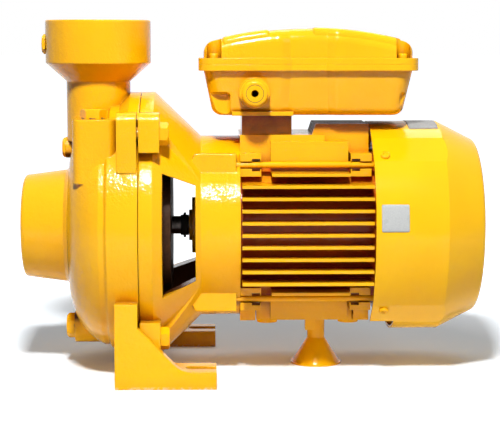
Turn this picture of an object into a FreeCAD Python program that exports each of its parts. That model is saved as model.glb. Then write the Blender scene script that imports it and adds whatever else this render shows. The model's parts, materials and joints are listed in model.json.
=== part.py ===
# Close-coupled centrifugal water pump: a cast volute casing on two feet, a
# lantern bracket, a finned motor with fan and cover, and a terminal box on top.
# Lengths are in millimetres. The shaft runs along X, suction towards -X.
# The origin is on the floor, under the middle of the overall length and width.
import FreeCAD, Part
import math
import os
from FreeCAD import Vector, Placement, Rotation

os.makedirs("parts", exist_ok=True)

# Stations are distances along the shaft from the joint face between casing and
# bracket: minus on the suction side, plus on the motor side.
shaft_height = 140.5
suction_face = -117.0
cover_rear = 330.0
outlet_height = 344.0

# Clearances used throughout
running_gap = 0.3
thread_gap = 0.1
slip_gap = 0.3

# Ports: 3 inch parallel pipe thread, bored to its minor diameter
port_bore = 42.46
port_depth = 34.0

# Suction nozzle and casing shell, outside
nozzle_radius = 51.0
nozzle_root_station = -75.0
nozzle_root_radius = 56.0
nozzle_edge = 4.0
outlet_edge = 1.5
flange_radius = 123.5
dome_front_station = -70.0
dome_front_radius = 62.0
dome_bulge_station = -58.5
dome_bulge_radius = flange_radius - 22.0
dome_shoulder_station = -37.0
dome_shoulder_radius = flange_radius - 4.5
band_start = -32.0
band_step = 2.5

# Top and bottom ears of the joint flange
ear_radius = flange_radius + 9.5
ear_half_width = 75.0
casing_ear = 11.0
bracket_flange = 13.0

# Paint groove along the joint, seen as a dark line
groove_width = 0.7
groove_depth = 1.6

# Corner lugs and their bolts, M12
lug_y = flange_radius - 30.5
lug_rise = flange_radius - 26.5
lug_radius = 15.0
lug_reach = 20.0
lug_relief = 1.5
lug_inner = lug_y - 23.0
lug_top = lug_rise + 20.0
lug_round = 9.0
lug_slope = 14.0
casing_lug_foot = lug_rise - 36.0
bracket_lug_foot = lug_rise - 17.0
bolt_radius = 6.0
bolt_flats = 19.0
bolt_head = 8.5
bolt_thread_end = -18.0

# Wetted inside of the casing
inlet_radius = 38.0
inlet_end = -66.0
eye_throat = 31.0
eye_wall_front = -60.0
chamber_front = -50.0
volute_start = 84.0
volute_end = 104.0
plate_seat = 9.0
plate_radius = 111.5
gasket_thickness = 1.0
gasket_inner = 105.0

# Discharge
outlet_station = -43.0
outlet_radius = 51.8
outlet_cup = 42.0
outlet_cone = 18.0
neck_radius = 31.5
neck_foot = 85.0
passage_radius = 25.0
passage_foot = 75.0

# Feet, with the rib clear of the bolt lug
rib_clearance = 2.0
rib_width = 12.0
foot_outer = lug_y + lug_radius + rib_clearance + rib_width
foot_width = 43.0
foot_thickness = 16.5
foot_front = -22.5
foot_back = -1.0
foot_toe = 72.6
foot_rise = 80.5
rib_height = 57.5
rib_fillet = 20.0
slot_width = 14.0
slot_end = 43.4

# Casing plugs
gauge_thread = 6.5
gauge_flats = 17.0
gauge_head = 3.2
gauge_drop = 23.5
outlet_gauge_height = outlet_height - gauge_drop
neck_gauge_height = shaft_height + dome_bulge_radius - 23.5
gauge_pad = 1.5
filler_station = -44.0
filler_y = -61.0
filler_boss_front = -62.0
filler_boss_rear = -20.0
filler_boss_near = -97.0
filler_boss_far = -20.0
filler_boss_round = 9.0
filler_top = 250.5
filler_foot = 190.5
filler_thread = 9.0
filler_flats = 22.0
filler_head = 9.0
filler_thread_length = 16.0
drain_height = 39.0
drain_boss = 17.0
drain_face = -68.5
drain_boss_end = -40.0
drain_thread = 8.0
drain_flats = 22.0
drain_head = 8.5
drain_thread_length = 16.0

# Back plate with seal chamber, and running parts of the seal
dish_radius = 75.0
dish_depth = 29.0
dish_wall = 5.0
dish_inner = 64.0
seal_seat_radius = 17.0
seal_seat_length = 7.0
seal_head_radius = 16.0
seal_head_length = 9.0
spring_mean_radius = 13.0
spring_width = 2.0
spring_wire = 1.6
spring_turns = 4

# Shaft
nut_end = -54.0
nut_thread = 6.0
hub_front = -44.0
hub_rear = -8.0
hub_seat = 8.0
shaft_radius = 9.0
rotor_seat = 17.0
rotor_front = 84.0
rotor_rear = 216.0
fan_seat_end = 286.0
key_width = 5.0
key_height = 5.0

# Impeller
impeller_radius = 72.0
back_shroud = 4.0
back_face = -12.0
outlet_width = 12.0
shroud_wall = 3.5
eye_radius = 30.0
eye_wall = 5.0
hub_radius = 17.0
vane_count = 6
vane_angle = 4.0
shroud_start = 60.0
ring_wall = 4.5
washer_thickness = 1.5
washer_radius = 12.0
nut_flats = 19.0
nut_height = 6.5

# Lantern bracket
cone_end = 58.0
ring_radius = 89.5
ring_end = 96.0
lantern_inner = 99.0
lantern_inner_end = 72.0
window_front = 22.0
window_rear = 53.0
window_front_low = 57.0
window_rear_low = 44.0
window_front_high = 60.0
window_rear_high = 47.0
end_wall = 7.0
front_boss = 28.0
front_boss_reach = 4.0
lip_radius = 15.5
lip_reach = 3.0
ring_wall_thickness = 8.5
bearing_boss_wall = 7.5
slinger_radius = 12.5
slinger_length = 8.0
slinger_step = 2.2

# Bearings: 25 x 52 x 15 in front, 20 x 47 x 14 behind
front_bore = 12.5
front_outer = 26.0
front_width = 15.0
front_station = 62.0
rear_bore = 10.0
rear_outer = 23.5
rear_width = 14.0
rear_station = 226.0
race_wall = 3.4
ball_gap = 0.15
ball_count = 8
cage_thickness = 1.6

# Motor frame
frame_bore = 70.0
frame_wall = 6.0
frame_end = 230.0
spigot_depth = 3.0
spigot_wall = 2.5
fin_pitch = 11.6
fin_thickness = 3.0
fin_tip = 92.0
fin_start = 97.4
fin_count = 9
pad_start = 125.5
pad_end = 200.3
pad_face = 55.0
pad_low = 57.0
pad_high = 87.0
pad_fin_tip = 84.0
deck_half_width = 46.0
deck_height = 93.0
deck_end = 178.0
foot_deck_height = 89.0
pedestal_start = 98.0
pedestal_end = 146.5
pedestal_half_width = 36.0
cradle_length = 20.0
cradle_depth = 64.0
cradle_half_height = 11.0
cradle_root = 30.0
notch_length = 8.0
notch_height = 2.4
top_fin_count = 5
top_fin_pitch = 16.0
top_fin_height = 103.0
top_fin_start = 160.0
top_fin_slope = 10.0
boss_radius = 10.0
boss_start = 123.0
boss_pitch = 80.0
boss_y = 32.0
boss_drop = 3.5
earth_lug = 10.0
earth_station = 165.0
earth_drop = 99.0

# Tie rods, M6
rod_y = 60.0
rod_rise = 65.0
rod_radius = 3.0
rod_boss_half_width = 8.0
rod_boss_inner = 7.0
rod_boss_outer = 11.0
rod_boss_slope = 9.0
rod_boss_start = 44.0
rod_boss_end = 92.0
rod_start = 66.0
rod_nut_flats = 10.0
rod_nut = 5.0

# Stator and rotor
stator_inner = 45.0
stack_start = 112.0
stack_length = 96.0
winding_inner = 49.0
winding_outer = 66.0
winding_overhang = 16.0
air_gap = 0.5
end_ring_inner = 26.0
end_ring_length = 6.0

# Rear end shield
shield_wall = 8.0
shield_radius = 84.0
shield_back = 4.0
shield_boss_wall = 7.0
shield_hole = 10.3
ear_width = 31.0

# Cooling fan
fan_hub_start = 258.0
fan_hub_end = 284.0
fan_hub_radius = 16.0
fan_disc = 3.0
fan_radius = 86.0
fan_blade = 2.5
fan_blade_inner = 30.0
fan_blades = 7
fan_blade_width = 20.0

# Fan cover
cover_start = 223.0
cover_radius = 104.0
cover_wall = 2.5
cover_bevel = 292.0
cover_cone_end = 325.5
cover_cone_radius = 87.0
cover_corner = (328.8, 84.6)
cover_rear_radius = 81.0
corner_angle = 51.0
corner_flat = 102.7
notch_end = 246.0
notch_half_width = 62.0
grille_radius = 68.0
grille_slot = 5.0
grille_pitch = 10.0
grille_rows = 13
grille_web = 4.0
cover_screw_radius = 2.5
cover_screw_head = 4.5
cover_screw_station = 234.0
cover_screw_shift = 9.0
cover_screw_head_height = 2.5
cover_screw_length = 8.0

# Terminal box; its near side is stepped back over the gland
box_left = 56.0
box_right = 267.0
box_far = 62.0
box_near = 68.0
valley_start = 137.0
valley_end = 186.0
valley_slope = 8.0
valley_depth = 3.5
pocket_top = 275.0
pocket_depth = 12.0
pocket_round = 4.0
pocket_left_end = 86.5
pocket_right_start = 249.0
box_bottom = 252.5
rim_bottom = 295.5
rim_split = 301.5
rim_top = 307.5
lid_crown = 335.5
crown_radius = 364.0
rim_overhang = 5.0
base_taper = 9.0
base_round = 10.0
corner_round = 14.0
box_wall = 3.5
lid_edge = 12.0
lid_thickness = 6.0
pillow_rise = 1.2
pillow_inset = 1.5
pillow_edge = 6.0
pillow_end = 3.0
pillow_spans = ((79.0, 124.0), (165.0, 251.0))
gasket_width = 3.0
lid_gasket_depth = 2.0
lid_screw_inset = 10.0
lid_screw_radius = 2.5
lid_screw_head = 4.5
lid_screw_head_height = 3.5
lid_screw_length = 15.0
lid_screw_boss = 3.5
lid_pocket = 7.0
ledge_start = 88.0
ledge_end = 147.0
ledge_thickness = 4.0
ledge_near = 58.0

# Cable gland in the stepped-back side
gland_station = 109.3
gland_height = 274.5
gland_thread = 10.0
gland_body = 14.0
gland_body_length = 12.0
gland_nut_length = 9.0
gland_seal_radius = 8.3
gland_hole = 3.4
gland_locknut = 13.0
gland_locknut_length = 4.0
gland_seat_depth = 11.0
gland_reach = 40.0

# Inside the terminal box
capacitor_radius = 21.0
capacitor_start = 150.0
capacitor_length = 98.0
capacitor_y = 14.0
clip_wall = 1.5
clip_width = 12.0
clip_inset = 20.0
board_start = 78.0
board_end = 100.0
board_half_width = 27.0
board_height = 12.0
stud_radius = 2.0
stud_height = 9.0
stud_pitch = 9.0

# Support stand under the motor
stand_station = 173.7
stand_stem = 8.75
stand_cone_top = 26.0
stand_radius = 25.5
stand_rim = 1.6
stand_wall = 2.5
stand_stud = 4.0
stand_stud_depth = 10.0

pump_mid = (suction_face + cover_rear) / 2
frame_radius = frame_bore + frame_wall
quadrants = [(sy, sz) for sy in (-1, 1) for sz in (-1, 1)]


def at(station):
    """X of a station along the shaft."""
    return station - pump_mid


def rod_x(radius, start, end, y=0.0, rise=0.0):
    """Cylinder along the shaft, rise above the shaft axis."""
    foot = Vector(at(start), y, shaft_height + rise)
    return Part.makeCylinder(radius, end - start, foot, Vector(1, 0, 0))


def tube_x(outer, inner, start, end):
    return rod_x(outer, start, end).cut(rod_x(inner, start - 1, end + 1))


def rod_z(radius, low, high, station, y=0.0):
    return Part.makeCylinder(radius, high - low, Vector(at(station), y, low))


def rod_y_axis(radius, y_start, y_end, station, height):
    foot = Vector(at(station), y_start, height)
    return Part.makeCylinder(radius, y_end - y_start, foot, Vector(0, 1, 0))


def block(start, end, y_low, y_high, low, high):
    corner = Vector(at(start), y_low, low)
    return Part.makeBox(end - start, y_high - y_low, high - low, corner)


def outline(points, place):
    """Closed wire; an item is a point, or (middle, end) of an arc."""
    edges = []
    first = last = place(points[0])
    for item in points[1:]:
        if isinstance(item[0], tuple):
            middle, end = place(item[0]), place(item[1])
            edges.append(Part.Arc(last, middle, end).toShape())
        else:
            end = place(item)
            edges.append(Part.makeLine(last, end))
        last = end
    if last.distanceToPoint(first) > 1e-6:
        edges.append(Part.makeLine(last, first))
    return Part.Wire(edges)


def turned(*points):
    """Solid of revolution about the shaft; points are (station, radius)."""
    wire = outline(points, lambda p: Vector(at(p[0]), 0, shaft_height + p[1]))
    axis_point = Vector(0, 0, shaft_height)
    return Part.Face(wire).revolve(axis_point, Vector(1, 0, 0), 360)


def turned_upright(station, y, *points):
    """Solid of revolution about a vertical axis; points are (radius, height)."""
    wire = outline(points, lambda p: Vector(at(station) + p[0], y, p[1]))
    return Part.Face(wire).revolve(Vector(at(station), y, 0), Vector(0, 0, 1), 360)


def plate_y(points, y_low, y_high):
    """Outline of (station, height) points, thick along Y."""
    wire = outline(points, lambda p: Vector(at(p[0]), y_low, p[1]))
    return Part.Face(wire).extrude(Vector(0, y_high - y_low, 0))


def around_shaft(shape, angle):
    turned_shape = shape.copy()
    turned_shape.rotate(Vector(0, 0, shaft_height), Vector(1, 0, 0), angle)
    return turned_shape


def radial_web(start, end, width, inner, outer, angle):
    """Bar pointing outwards from the shaft, angle from +Y towards +Z."""
    low = shaft_height - width / 2
    web = block(start, end, inner, outer, low, low + width)
    return around_shaft(web, angle)


def hexagon(flats, length, base, direction):
    """Hexagonal prism standing on base along direction, with a chamfered end."""
    corner = flats / math.sqrt(3)
    points = [Vector(corner * math.cos(math.radians(60 * i)),
                     corner * math.sin(math.radians(60 * i)), 0) for i in range(7)]
    prism = Part.Face(Part.makePolygon(points)).extrude(Vector(0, 0, length))
    chamfer_circle = 0.48 * flats
    cap = Part.makeCone(chamfer_circle + length, chamfer_circle, length)
    shape = prism.common(cap)
    shape.Placement = Placement(base, Rotation(Vector(0, 0, 1), direction))
    return shape


def fused(shapes):
    return shapes[0].multiFuse(shapes[1:]).removeSplitter()


def drilled(shape, holes):
    return shape.cut(Part.Compound(holes))


def group(shapes):
    return Part.Compound(shapes)


def save(node, shape):
    shape.exportStep("parts/" + node + ".step")


def volute_wire(station, inset=0.0):
    """Spiral of four arcs that grows from the tongue to the outlet."""

    def place(angle, radius):
        return Vector(at(station), radius * math.cos(math.radians(angle)),
                      shaft_height + radius * math.sin(math.radians(angle)))

    quarters = 4
    start_angle = 90.0
    edges = []
    for i in range(quarters):
        angles = [start_angle + 90.0 * (i + step) for step in (0, 0.5, 1)]
        radii = [volute_start + (volute_end - volute_start) * (i + step) / quarters - inset
                 for step in (0, 0.5, 1)]
        points = [place(a, r) for a, r in zip(angles, radii)]
        edges.append(Part.Arc(*points).toShape())
    edges.append(Part.makeLine(place(start_angle, volute_end - inset),
                               place(start_angle, volute_start - inset)))
    return Part.Wire(edges)


def plate_x(points, start, end):
    """Outline of (y, rise over the shaft) points, thick along the shaft."""
    wire = outline(points, lambda p: Vector(at(start), p[0], shaft_height + p[1]))
    return Part.Face(wire).extrude(Vector(end - start, 0, 0))


def lug(start, end, sy, sz, foot):
    """Corner block with a flat outer side, rounded over the bolt."""
    outer = lug_y + lug_radius
    sag = lug_round * (1 - math.sqrt(0.5))
    corner = ((outer - sag, lug_top - sag), (outer - lug_round, lug_top))
    points = [(lug_inner, foot), (outer, foot), (outer, lug_top - lug_round), corner,
              (lug_inner + lug_slope, lug_top), (lug_inner, lug_top - lug_slope)]
    placed = []
    for point in points:
        if isinstance(point[0], tuple):
            placed.append(tuple((sy * y, sz * rise) for y, rise in point))
        else:
            placed.append((sy * point[0], sz * point[1]))
    return plate_x(placed, start, end)


def joint_groove(start, end):
    """Thin ring around the flange and its ears, cut away beside the joint."""
    kept = rod_x(flange_radius - groove_depth, start - 1, end + 1)
    ears = rod_x(ear_radius - groove_depth, start - 1, end + 1)
    middle = block(start - 1, end + 1, -ear_half_width + groove_depth,
                   ear_half_width - groove_depth, -ear_radius, shaft_height + 2 * ear_radius)
    return rod_x(2 * flange_radius, start, end).cut(kept.fuse(ears.common(middle)))


def ear(points):
    """Top and bottom ears: a larger disc cut to the ears' width."""
    middle = block(suction_face, cover_rear, -ear_half_width, ear_half_width,
                   -ear_radius, shaft_height + 2 * ear_radius)
    return turned(*points).common(middle)


def foot(side):
    inner = foot_outer - foot_width
    y_low, y_high = sorted((side * inner, side * foot_outer))
    pad = block(foot_front, foot_toe, y_low, y_high, 0, foot_thickness)
    upright = block(foot_front, foot_back, y_low, y_high, 0, foot_rise)
    slope_end = foot_back + rib_height - foot_thickness
    tangent = rib_fillet * math.tan(math.radians(22.5))
    diagonal = tangent / math.sqrt(2)
    sag = rib_fillet * (1 / math.cos(math.radians(22.5)) - 1)
    middle = (slope_end + sag * math.sin(math.radians(22.5)),
              foot_thickness + sag * math.cos(math.radians(22.5)))
    points = [(foot_back, 0), (foot_back, rib_height),
              (slope_end - diagonal, foot_thickness + diagonal),
              (middle, (slope_end + tangent, foot_thickness)),
              (slope_end + tangent, 0)]
    rib_low, rib_high = sorted((side * (foot_outer - rib_width), side * foot_outer))
    rib = plate_y(points, rib_low, rib_high)
    middle_y = side * (foot_outer - foot_width / 2)
    slot_middle = slot_end + slot_width / 2
    slot = rod_z(slot_width / 2, -1, foot_thickness + 1, slot_middle, middle_y)
    mouth = block(slot_middle, foot_toe + 1, middle_y - slot_width / 2,
                  middle_y + slot_width / 2, -1, foot_thickness + 1)
    return fused([pad, upright, rib]).cut(slot).cut(mouth)


def casing_shell():
    step_45 = nozzle_edge * (1 - math.sqrt(0.5))
    nozzle_corner = ((suction_face + step_45, nozzle_radius - step_45),
                     (suction_face + nozzle_edge, nozzle_radius))
    shell = turned((suction_face, 0.0), (suction_face, nozzle_radius - nozzle_edge),
                   nozzle_corner,
                   (nozzle_root_station, nozzle_root_radius),
                   (dome_front_station, dome_front_radius),
                   ((dome_bulge_station, dome_bulge_radius),
                    (dome_shoulder_station, dome_shoulder_radius)),
                   (band_start, dome_shoulder_radius),
                   (band_start + band_step, flange_radius - 1.0),
                   (0.0, flange_radius), (0.0, 0.0))
    chamfer = ear_radius - flange_radius
    ears = ear([(-casing_ear - chamfer, 0), (-casing_ear - chamfer, flange_radius),
                (-casing_ear, ear_radius), (0, ear_radius), (0, 0)])
    return [shell, ears]


def casing_lugs():
    return [lug(-lug_reach, -lug_relief, sy, sz, casing_lug_foot) for sy, sz in quadrants]


def outlet_branch():
    cup_foot = outlet_height - outlet_cup
    edge = outlet_edge * (1 - math.sqrt(0.5))
    rim = ((outlet_radius - edge, outlet_height - edge),
           (outlet_radius - outlet_edge, outlet_height))
    return turned_upright(outlet_station, 0,
                          (0, shaft_height + neck_foot),
                          (neck_radius, shaft_height + neck_foot),
                          (neck_radius, cup_foot - outlet_cone),
                          (outlet_radius, cup_foot),
                          (outlet_radius, outlet_height - outlet_edge),
                          rim, (0, outlet_height))


def casing_inside():
    """Everything hollow in the casing: ports, passages, volute and seats."""
    inlet = turned((suction_face - 1, 0), (suction_face - 1, port_bore),
                   (suction_face + port_depth, port_bore),
                   (suction_face + port_depth, inlet_radius),
                   (inlet_end, inlet_radius), (eye_wall_front, eye_throat),
                   (eye_wall_front, 0))
    ring_seat = rod_x(eye_radius + eye_wall + ring_wall + running_gap,
                      eye_wall_front, chamber_front + 1)
    volute = Part.Face(volute_wire(chamber_front))
    volute = volute.extrude(Vector(-chamber_front - plate_seat, 0, 0))
    seat = rod_x(plate_radius + running_gap, -plate_seat, 1)
    passage = rod_z(passage_radius, shaft_height + passage_foot,
                    outlet_height - port_depth, outlet_station)
    outlet = rod_z(port_bore, outlet_height - port_depth, outlet_height + 1, outlet_station)
    return [inlet, ring_seat, volute, seat, passage, outlet]


def casing_holes():
    filler = rod_z(filler_thread + thread_gap, filler_foot, filler_top + 1,
                   filler_station, filler_y)
    drain = rod_x(drain_thread + thread_gap, drain_face - 1, chamber_front + 8,
                  0, drain_height - shaft_height)
    outlet_gauge = rod_x(gauge_thread + thread_gap, outlet_station - outlet_radius - 1,
                         outlet_station, 0, outlet_gauge_height - shaft_height)
    neck_gauge = rod_x(gauge_thread + thread_gap, outlet_station - neck_radius - 5,
                       outlet_station, 0, neck_gauge_height - shaft_height)
    bolts = [rod_x(bolt_radius + thread_gap, bolt_thread_end - 1, 0, sy * lug_y, sz * lug_rise)
             for sy, sz in quadrants]
    return [filler, drain, outlet_gauge, neck_gauge] + bolts


def filler_boss():
    """Upright block for the filler plug, its near corners rounded."""
    body = block(filler_boss_front, filler_boss_rear, filler_boss_near, filler_boss_far,
                 filler_foot, filler_top)
    near = [edge for edge in body.Edges
            if max(abs(v.Y - filler_boss_near) for v in edge.Vertexes) < 0.01
            and abs(edge.Vertexes[0].Z - edge.Vertexes[-1].Z) > 1]
    return body.makeFillet(filler_boss_round, near)


def pump_casing():
    shell = fused(casing_shell()).cut(joint_groove(-groove_width / 2, 0))
    drain = rod_x(drain_boss, drain_face, drain_boss_end, 0, drain_height - shaft_height)
    neck_pad = rod_x(gauge_flats / 2 + 2, outlet_station - neck_radius - gauge_pad,
                     outlet_station, 0, neck_gauge_height - shaft_height)
    solids = [shell, outlet_branch(), filler_boss(), drain, neck_pad, foot(-1), foot(1)]
    solids += casing_lugs()
    return drilled(fused(solids), casing_inside() + casing_holes())


def threaded_plug(flats, head, thread, length, face, direction):
    """Hex plug whose head rests on face and whose thread goes inwards."""
    top = hexagon(flats, head, face, direction)
    screw = Part.makeCylinder(thread, length, face, direction * -1)
    return top.fuse(screw).removeSplitter()


def filler_plug():
    face = Vector(at(filler_station), filler_y, filler_top)
    return threaded_plug(filler_flats, filler_head, filler_thread,
                         filler_thread_length, face, Vector(0, 0, 1))


def drain_plug():
    face = Vector(at(drain_face), 0, drain_height)
    return threaded_plug(drain_flats, drain_head, drain_thread,
                         drain_thread_length, face, Vector(-1, 0, 0))


def gauge_plugs():
    wall = outlet_radius - port_bore - gauge_pad
    outlet_face = Vector(at(outlet_station - outlet_radius), 0, outlet_gauge_height)
    neck_face = Vector(at(outlet_station - neck_radius - gauge_pad), 0, neck_gauge_height)
    neck_wall = neck_radius - passage_radius
    return group([threaded_plug(gauge_flats, gauge_head, gauge_thread, wall,
                                outlet_face, Vector(-1, 0, 0)),
                  threaded_plug(gauge_flats, gauge_head, gauge_thread, neck_wall,
                                neck_face, Vector(-1, 0, 0))])


def wear_ring():
    inner = eye_radius + eye_wall + running_gap
    return tube_x(inner + ring_wall, inner, eye_wall_front, chamber_front)


def casing_gasket():
    return tube_x(plate_radius, gasket_inner, -plate_seat, -plate_seat + gasket_thickness)


def seal_plate():
    """Dished back plate; its rear wall holds the fixed seal ring."""
    front = -plate_seat + gasket_thickness
    rear_wall = dish_depth - dish_wall
    plate = turned((front, dish_inner), (front, plate_radius), (0, plate_radius),
                   (0, dish_radius), (dish_depth, dish_radius),
                   (dish_depth, shaft_radius + slip_gap * 2),
                   (rear_wall, shaft_radius + slip_gap * 2),
                   (rear_wall, seal_seat_radius + thread_gap),
                   (rear_wall - seal_seat_length, seal_seat_radius + thread_gap),
                   (rear_wall - seal_seat_length, dish_inner))
    return plate


def seal_seat():
    rear_wall = dish_depth - dish_wall
    return tube_x(seal_seat_radius, shaft_radius + slip_gap * 2,
                  rear_wall - seal_seat_length, rear_wall)


def seal_head():
    rear_wall = dish_depth - dish_wall
    face = rear_wall - seal_seat_length
    head = turned((face, shaft_radius), (face, seal_head_radius - 3),
                  (face - 3, seal_head_radius), (face - seal_head_length, seal_head_radius),
                  (face - seal_head_length, shaft_radius))
    return head


def seal_spring():
    """Flat-wire coil spring between impeller hub and sliding seal head."""
    start = hub_rear
    end = dish_depth - dish_wall - seal_seat_length - seal_head_length
    rise = end - start - spring_wire
    coil = Part.Wire(Part.makeHelix(rise / spring_turns, rise, spring_mean_radius))
    half_width = spring_width / 2
    half_wire = spring_wire / 2
    corners = [(-1, -1), (1, -1), (1, 1), (-1, 1), (-1, -1)]
    section = Part.makePolygon([Vector(spring_mean_radius + u * half_width, 0, v * half_wire)
                                for u, v in corners])
    spring = coil.makePipeShell([section], True, True)
    spring.Placement = Placement(Vector(at(start) + half_wire, 0, shaft_height),
                                 Rotation(Vector(0, 0, 1), Vector(1, 0, 0)))
    return spring


def motor_shaft():
    front_seat_end = front_station + front_width
    rear_seat_end = rear_station + rear_width
    shaft = turned((nut_end, 0), (nut_end, nut_thread), (hub_front, nut_thread),
                   (hub_front, hub_seat), (hub_rear, hub_seat), (hub_rear, shaft_radius),
                   (front_station, shaft_radius), (front_station, front_bore),
                   (front_seat_end, front_bore), (front_seat_end, front_bore + 3),
                   (rotor_front, front_bore + 3), (rotor_front, rotor_seat),
                   (rotor_rear, rotor_seat), (rotor_rear, rear_bore + 3),
                   (rear_station, rear_bore + 3), (rear_station, rear_bore),
                   (rear_seat_end, rear_bore), (rear_seat_end, shaft_radius),
                   (fan_seat_end, shaft_radius), (fan_seat_end, 0))
    return shaft.cut(key_block(0))


def key_block(gap):
    """Key between shaft and impeller hub, and its seat when gap is given."""
    low = shaft_height + hub_seat - key_height / 2
    return block(hub_front + 6, hub_rear - 6, -key_width / 2 - gap, key_width / 2 + gap,
                 low, low + key_height + gap)


def impeller_key():
    return key_block(0)


def vane_wire(angle):
    """Backward-curved vane between two arcs, seen along the shaft."""
    radii = (hub_radius + 10, (hub_radius + impeller_radius) / 2 + 6, impeller_radius + 1)
    sweep = (0.0, 38.0, 66.0)
    edges = []
    ends = []
    for side in (0.0, vane_angle):
        points = [Vector(at(hub_front), radius * math.cos(math.radians(angle + turn + side)),
                         shaft_height + radius * math.sin(math.radians(angle + turn + side)))
                  for radius, turn in zip(radii, sweep)]
        edges.append(Part.Arc(*points).toShape())
        ends.append(points)
    edges.append(Part.makeLine(ends[0][2], ends[1][2]))
    edges.append(Part.makeLine(ends[1][0], ends[0][0]))
    return Part.Wire(Part.sortEdges(edges)[0])


def impeller():
    back_front = back_face - back_shroud
    shroud_rim = back_front - outlet_width
    eye_end = eye_wall_front + 1.0
    eye_outer = eye_radius + eye_wall
    back = turned((hub_front, hub_seat), (hub_front, hub_radius - 3),
                  ((hub_front + 9, hub_radius + 2), (back_front, hub_radius + 25)),
                  (back_front, impeller_radius), (back_face, impeller_radius),
                  (back_face, hub_radius), (hub_rear, hub_radius), (hub_rear, hub_seat))
    inside = ((shroud_rim - 4.5, eye_radius + 18), (shroud_rim - 13, eye_radius))
    outside = ((shroud_rim - 14.5, eye_radius + 9), (shroud_rim - 7, eye_radius + 25))
    front = turned((shroud_rim, impeller_radius), (shroud_rim - 0.5, shroud_start), inside,
                   (eye_end, eye_radius), (eye_end, eye_outer),
                   (shroud_rim - 17, eye_outer), outside,
                   (shroud_rim - shroud_wall, impeller_radius))
    waterway = turned((back_front + 0.5, hub_radius + 2), (back_front + 0.5, impeller_radius),
                      (shroud_rim - 0.5, impeller_radius), (shroud_rim - 0.5, shroud_start),
                      (shroud_rim - 9, eye_radius + 4), (shroud_rim - 9, hub_radius + 2))
    vanes = [Part.Face(vane_wire(360.0 * i / vane_count)).extrude(
             Vector(back_face - hub_front, 0, 0)).common(waterway) for i in range(vane_count)]
    return drilled(fused([back, front] + vanes), [key_block(slip_gap)])


def impeller_nut():
    start = hub_front - washer_thickness
    nut = hexagon(nut_flats, nut_height, Vector(at(start), 0, shaft_height), Vector(-1, 0, 0))
    washer = tube_x(washer_radius, nut_thread + thread_gap, start, hub_front)
    bore = rod_x(nut_thread + thread_gap, nut_end - 1, hub_front)
    return group([nut.cut(bore), washer])


def slinger():
    """Rubber ring that keeps water off the front bearing."""
    rear = window_rear - front_boss_reach - lip_reach - running_gap
    front = rear - slinger_length
    step = slinger_radius - slinger_step
    collar = front + slinger_length / 3
    return turned((front, shaft_radius), (front, step), (collar, step),
                  (collar, slinger_radius), (rear - slinger_length / 3, slinger_radius),
                  (rear - slinger_length / 3, step), (rear, step), (rear, shaft_radius))


def rod_block(sy, sz):
    """Square rib with a sloped front end that holds a tie rod's thread."""
    inner = shaft_height + sz * (rod_rise - rod_boss_inner)
    outer = shaft_height + sz * (rod_rise + rod_boss_outer)
    y_low, y_high = sorted((sy * (rod_y - rod_boss_half_width),
                            sy * (rod_y + rod_boss_half_width)))
    return plate_y([(rod_boss_start, inner), (rod_boss_end, inner), (rod_boss_end, outer),
                    (rod_boss_start + rod_boss_slope, outer)], y_low, y_high)


def lantern_bracket():
    """Open lantern, motor-side ring, end wall and front bearing seat in one casting."""
    wall_front = window_rear
    wall_rear = wall_front + end_wall
    cone = turned((0, 0), (0, flange_radius), (bracket_flange, flange_radius),
                  (cone_end, ring_radius), (ring_end, ring_radius), (ring_end, 0))
    arms = ear([(0, 0), (0, ear_radius), (bracket_flange, ear_radius),
                (cone_end, ring_radius), (cone_end, 0)])
    lugs = [lug(lug_relief - 1.0, lug_reach, sy, sz, bracket_lug_foot) for sy, sz in quadrants]
    flange = fused([cone, arms]).cut(joint_groove(0, groove_width / 2))
    shell = fused([flange] + lugs + [rod_block(sy, sz) for sy, sz in quadrants])
    inside = turned((-1, 0), (-1, lantern_inner), (bracket_flange, lantern_inner),
                    (wall_front, lantern_inner_end), (wall_front, 0))
    motor_side = rod_x(ring_radius - ring_wall_thickness, wall_rear, ring_end + 1)
    window = plate_y([(window_front, shaft_height - window_front_low),
                      (window_rear, shaft_height - window_rear_low),
                      (window_rear, shaft_height + window_rear_high),
                      (window_front, shaft_height + window_front_high)],
                     -2 * flange_radius, 2 * flange_radius)
    shell = drilled(shell, [inside, motor_side, window])
    lip_front = wall_front - front_boss_reach - lip_reach
    bearing_end = front_station + front_width
    boss = front_outer + bearing_boss_wall
    spigot = tube_x(frame_bore + spigot_wall, frame_bore + 0.2, ring_end - 8,
                    ring_end + spigot_depth)
    spigot_root = tube_x(ring_radius - 2, frame_bore + 0.2, ring_end - 8, ring_end)
    extras = [rod_x(front_boss, wall_front - front_boss_reach, wall_rear),
              rod_x(lip_radius, lip_front, wall_front), rod_x(boss, wall_front, bearing_end),
              spigot, spigot_root]
    holes = [rod_x(front_outer, front_station, bearing_end + 1),
             rod_x(shaft_radius + 2 * slip_gap, lip_front - 1, front_station + 1)]
    holes += [rod_x(rod_radius + thread_gap, rod_start, ring_end + 1, sy * rod_y, sz * rod_rise)
              for sy, sz in quadrants]
    holes += [rod_x(bolt_radius + slip_gap, -1, lug_reach + 1, sy * lug_y, sz * lug_rise)
              for sy, sz in quadrants]
    return drilled(fused([shell] + extras), holes)


def casing_bolts():
    bolts = []
    for sy, sz in quadrants:
        face = Vector(at(lug_reach), sy * lug_y, shaft_height + sz * lug_rise)
        head = hexagon(bolt_flats, bolt_head, face, Vector(1, 0, 0))
        shank = rod_x(bolt_radius, bolt_thread_end, lug_reach, sy * lug_y, sz * lug_rise)
        bolts.append(head.fuse(shank).removeSplitter())
    return group(bolts)


def ball_track(bore, outer, station, width, gap):
    """Ring that the balls run in, wider than they are by gap."""
    middle = Vector(at(station + width / 2), 0, shaft_height)
    radius = ball_radius(bore, outer)
    return Part.makeTorus((bore + outer) / 2, radius + gap, middle, Vector(1, 0, 0))


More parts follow.
